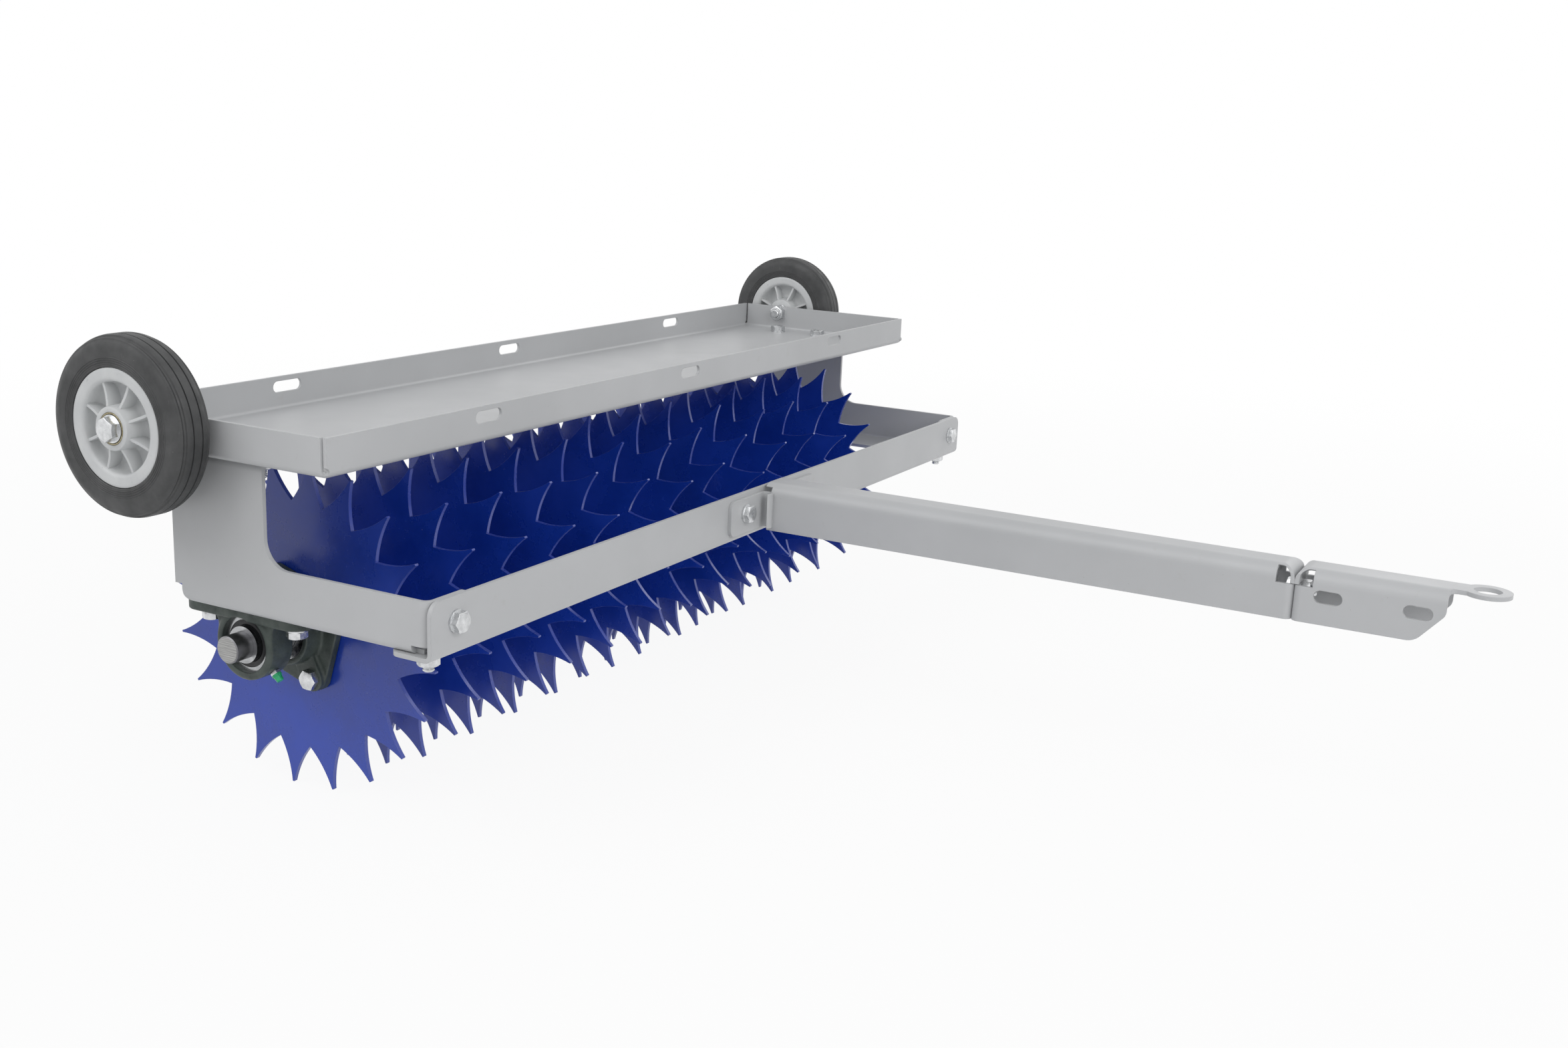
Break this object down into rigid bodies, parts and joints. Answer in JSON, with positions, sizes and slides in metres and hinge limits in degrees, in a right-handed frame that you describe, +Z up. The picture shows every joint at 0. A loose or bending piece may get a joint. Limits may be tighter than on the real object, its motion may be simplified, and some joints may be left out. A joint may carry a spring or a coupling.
{
  "type": "tow behind aerator",
  "caption": "Towed lawn aerator: spiked star drum in two halves on one shaft, weight tray above, transport wheels, drawbar and hitch.",
  "frame": {"origin": "on the floor under the middle of the part's box", "axes": "+X along the drum to the machine's right as seen from the drawbar's front, -Y the towing direction, +Z up"},
  "size_m": [1.2332, 1.1386, 0.4331],
  "materials": {
    "grey_paint": "satin light grey powder coat",
    "blue_paint": "glossy royal blue paint",
    "cast_housing": "rough cast, dark green grey paint",
    "shaft_steel": "dark drawn steel, sawn ends",
    "bearing_steel": "ground bearing steel",
    "zinc": "bright zinc plate",
    "cap_plastic": "green cap",
    "rim_plastic": "satin light grey",
    "tyre_rubber": "matte dark grey rubber"
  },
  "bodies": {
    "frame": {"weight_tray": "grey_paint", "side_plate_left": "grey_paint", "side_plate_right": "grey_paint", "front_bar": "grey_paint", "tow_bar": "grey_paint", "hitch": "grey_paint", "frame_bolts": "zinc", "frame_washers": "zinc", "frame_nuts": "zinc", "pillow_bolts": "zinc", "hitch_bolt": "zinc", "hitch_nut": "zinc", "pillow_housing_left": "cast_housing", "pillow_housing_right": "cast_housing", "pillow_outer_ring_left": "bearing_steel", "pillow_outer_ring_right": "bearing_steel", "grease_nipples": "zinc", "nipple_caps": "cap_plastic", "wheel_bolts": "zinc", "wheel_washers": "zinc", "wheel_lock_nuts": "zinc", "wheel_sleeves": "zinc"},
    "shaft": {"shaft": "shaft_steel", "pillow_inner_ring_left": "bearing_steel", "pillow_inner_ring_right": "bearing_steel", "flange_inner_rings": "bearing_steel", "pillow_balls": "bearing_steel", "flange_balls": "bearing_steel"},
    "drum_left": {"star_01": "blue_paint", "star_02": "blue_paint", "star_03": "blue_paint", "star_04": "blue_paint", "star_05": "blue_paint", "star_06": "blue_paint", "star_07": "blue_paint", "drum_tube_left": "blue_paint", "flange_housing_1": "cast_housing", "flange_housing_2": "cast_housing", "flange_outer_rings_left": "bearing_steel", "flange_bolts_left": "zinc", "flange_nuts_left": "zinc"},
    "drum_right": {"star_08": "blue_paint", "star_09": "blue_paint", "star_10": "blue_paint", "star_11": "blue_paint", "star_12": "blue_paint", "star_13": "blue_paint", "drum_tube_right": "blue_paint", "flange_housing_3": "cast_housing", "flange_housing_4": "cast_housing", "flange_outer_rings_right": "bearing_steel", "flange_bolts_right": "zinc", "flange_nuts_right": "zinc"},
    "wheel_left": {"wheel_rim_left": "rim_plastic", "tyre_left": "tyre_rubber"},
    "wheel_right": {"wheel_rim_right": "rim_plastic", "tyre_right": "tyre_rubber"}
  },
  "joints": [
    {"name": "shaft_turn", "type": "hinge", "parent": "frame", "child": "shaft", "pos_m": [0, 0.41172, 0.15757], "axis": [1, 0, 0], "continuous": true},
    {"name": "left_drum_turn", "type": "hinge", "parent": "shaft", "child": "drum_left", "pos_m": [0, 0.41172, 0.15757], "axis": [1, 0, 0], "continuous": true},
    {"name": "right_drum_turn", "type": "hinge", "parent": "shaft", "child": "drum_right", "pos_m": [0, 0.41172, 0.15757], "axis": [1, 0, 0], "continuous": true},
    {"name": "left_wheel_turn", "type": "hinge", "parent": "frame", "child": "wheel_left", "pos_m": [-0.5875, 0.47172, 0.35507], "axis": [1, 0, 0], "continuous": true},
    {"name": "right_wheel_turn", "type": "hinge", "parent": "frame", "child": "wheel_right", "pos_m": [0.5875, 0.47172, 0.35507], "axis": [1, 0, 0], "continuous": true}
  ]
}
